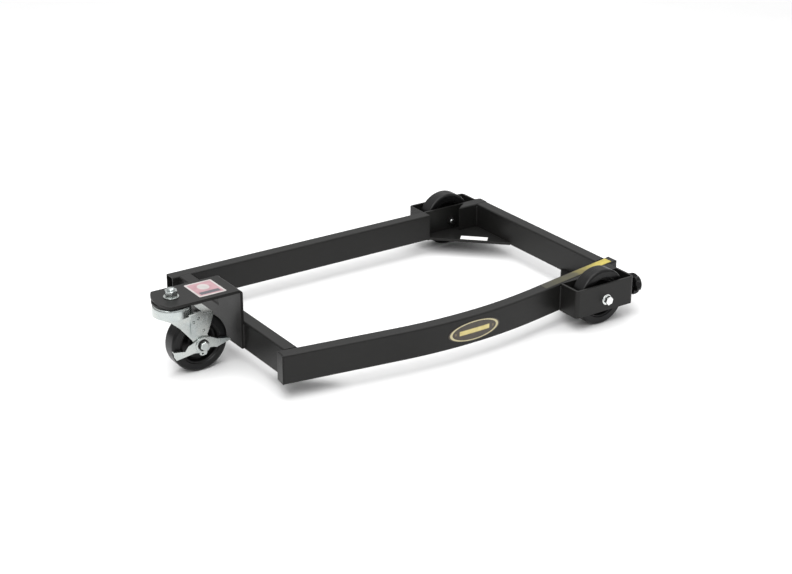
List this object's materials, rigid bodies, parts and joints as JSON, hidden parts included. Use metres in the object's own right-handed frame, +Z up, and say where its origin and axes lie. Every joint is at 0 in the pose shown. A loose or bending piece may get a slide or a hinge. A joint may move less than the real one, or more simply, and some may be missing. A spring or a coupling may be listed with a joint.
{
  "type": "machine mobile base",
  "caption": "Three-wheeled rolling base for a shop machine: welded tube frame with one bowed rail, knob-locked fixed wheels at the rear and a braked swivel caster.",
  "frame": {"origin": "centre of the footprint, on the floor (middle of the bounding box's underside)", "axes": "+X from the caster towards the fixed wheels (longest extent); +Y from the bowed rail towards the straight rail; +Z up (shortest extent)"},
  "size_m": [0.8395, 0.5284, 0.1534],
  "materials": {
    "frame_paint": "satin black powder coat",
    "zinc_plate": "bright zinc plate",
    "bright_zinc": "bright zinc plate",
    "black_oxide": "black oxide",
    "ball_steel": "polished",
    "wheel_tread": "glossy moulded black",
    "wheel_core": "moulded black",
    "bushing_steel": "plain steel",
    "knob_plastic": "satin black",
    "pad_plastic": "matt black",
    "badge_film": "printed film, dark ground with a gold ring",
    "warning_film": "yellow film",
    "sticker_film": "printed film, plain colour blocks and a white border",
    "label_film": "blank white paper label"
  },
  "bodies": {
    "frame": {"near_rail": "frame_paint", "near_rail_end_caps": "frame_paint", "far_rail": "frame_paint", "far_corner_tube": "frame_paint", "front_cross_member": "frame_paint", "rear_cross_member": "frame_paint", "near_wheel_bracket": "frame_paint", "far_wheel_bracket": "frame_paint", "near_bracket_inner_plate": "frame_paint", "far_bracket_inner_plate": "frame_paint", "near_wedge_cap": "frame_paint", "far_rear_support": "frame_paint", "near_rear_support": "frame_paint", "far_front_support": "frame_paint", "near_front_support": "frame_paint", "weld_beads": "frame_paint", "caster_mount_plate": "frame_paint", "caster_stem": "zinc_plate", "stem_washer": "zinc_plate", "stem_nut": "zinc_plate", "caster_top_race": "frame_paint", "axle_bolts": "bright_zinc", "axle_nuts": "black_oxide", "axle_spacers": "bright_zinc", "lock_weld_nuts": "bright_zinc", "oval_badge": "badge_film", "warning_strip": "warning_film", "caster_plate_sticker": "sticker_film", "blank_label": "label_film"},
    "near_wheel": {"near_tyre": "wheel_tread", "near_wheel_core": "wheel_core", "near_wheel_bushing": "bushing_steel"},
    "far_wheel": {"far_tyre": "wheel_tread", "far_wheel_core": "wheel_core", "far_wheel_bushing": "bushing_steel"},
    "near_lock_slider": {"near_lock_pad": "pad_plastic"},
    "near_lock_turner": {"near_lock_screw": "bright_zinc", "near_lock_knob": "knob_plastic"},
    "far_lock_slider": {"far_lock_pad": "pad_plastic"},
    "far_lock_turner": {"far_lock_screw": "bright_zinc", "far_lock_knob": "knob_plastic"},
    "caster_swivel": {"caster_fork": "zinc_plate", "caster_balls": "ball_steel", "brake_guide_pins": "zinc_plate", "caster_axle_bolt": "zinc_plate", "caster_axle_nut": "zinc_plate", "caster_nut_washer": "zinc_plate", "brake_ring": "pad_plastic"},
    "caster_wheel": {"caster_tyre": "wheel_tread", "caster_wheel_core": "wheel_core", "caster_bushing": "bushing_steel"},
    "brake_lever": {"brake_lever": "zinc_plate"},
    "brake_strap": {"brake_strap": "zinc_plate"}
  },
  "joints": [
    {"name": "near_wheel_spin", "type": "hinge", "parent": "frame", "child": "near_wheel", "pos_m": [0.324, -0.23, 0.0508], "axis": [0, 1, 0], "continuous": true},
    {"name": "far_wheel_spin", "type": "hinge", "parent": "frame", "child": "far_wheel", "pos_m": [0.324, 0.23, 0.0508], "axis": [0, 1, 0], "continuous": true},
    {"name": "caster_turn", "type": "hinge", "parent": "frame", "child": "caster_swivel", "pos_m": [-0.387, -0.003, 0.12], "axis": [0, 0, 1], "continuous": true},
    {"name": "caster_wheel_spin", "type": "hinge", "parent": "caster_swivel", "child": "caster_wheel", "pos_m": [-0.346, -0.003, 0.0508], "axis": [0, 1, 0], "continuous": true},
    {"name": "brake_lever_turn", "type": "hinge", "parent": "caster_swivel", "child": "brake_lever", "pos_m": [-0.346, -0.027, 0.0508], "axis": [0, 1, 0], "range_deg": [0, 18]},
    {"name": "brake_strap_slide", "type": "slide", "parent": "caster_swivel", "child": "brake_strap", "axis": [0, 0, -1], "range_m": [0, 0.002]},
    {"name": "near_lock_slide", "type": "slide", "parent": "frame", "child": "near_lock_slider", "axis": [-1, 0, 0], "range_m": [0, 0.003]},
    {"name": "near_lock_turn", "type": "hinge", "parent": "near_lock_slider", "child": "near_lock_turner", "pos_m": [0.4, -0.23, 0.0525], "axis": [-1, 0, 0], "range_deg": [0, 681]},
    {"name": "far_lock_slide", "type": "slide", "parent": "frame", "child": "far_lock_slider", "axis": [-1, 0, 0], "range_m": [0, 0.003]},
    {"name": "far_lock_turn", "type": "hinge", "parent": "far_lock_slider", "child": "far_lock_turner", "pos_m": [0.4, 0.23, 0.0525], "axis": [-1, 0, 0], "range_deg": [0, 681]}
  ],
  "couplings": [
    {"joint": "brake_strap_slide", "follows": "brake_lever_turn", "m_per_rad": 0.00636},
    {"joint": "near_lock_turn", "follows": "near_lock_slide", "rad_per_m": 3957.9},
    {"joint": "far_lock_turn", "follows": "far_lock_slide", "rad_per_m": 3957.9}
  ]
}
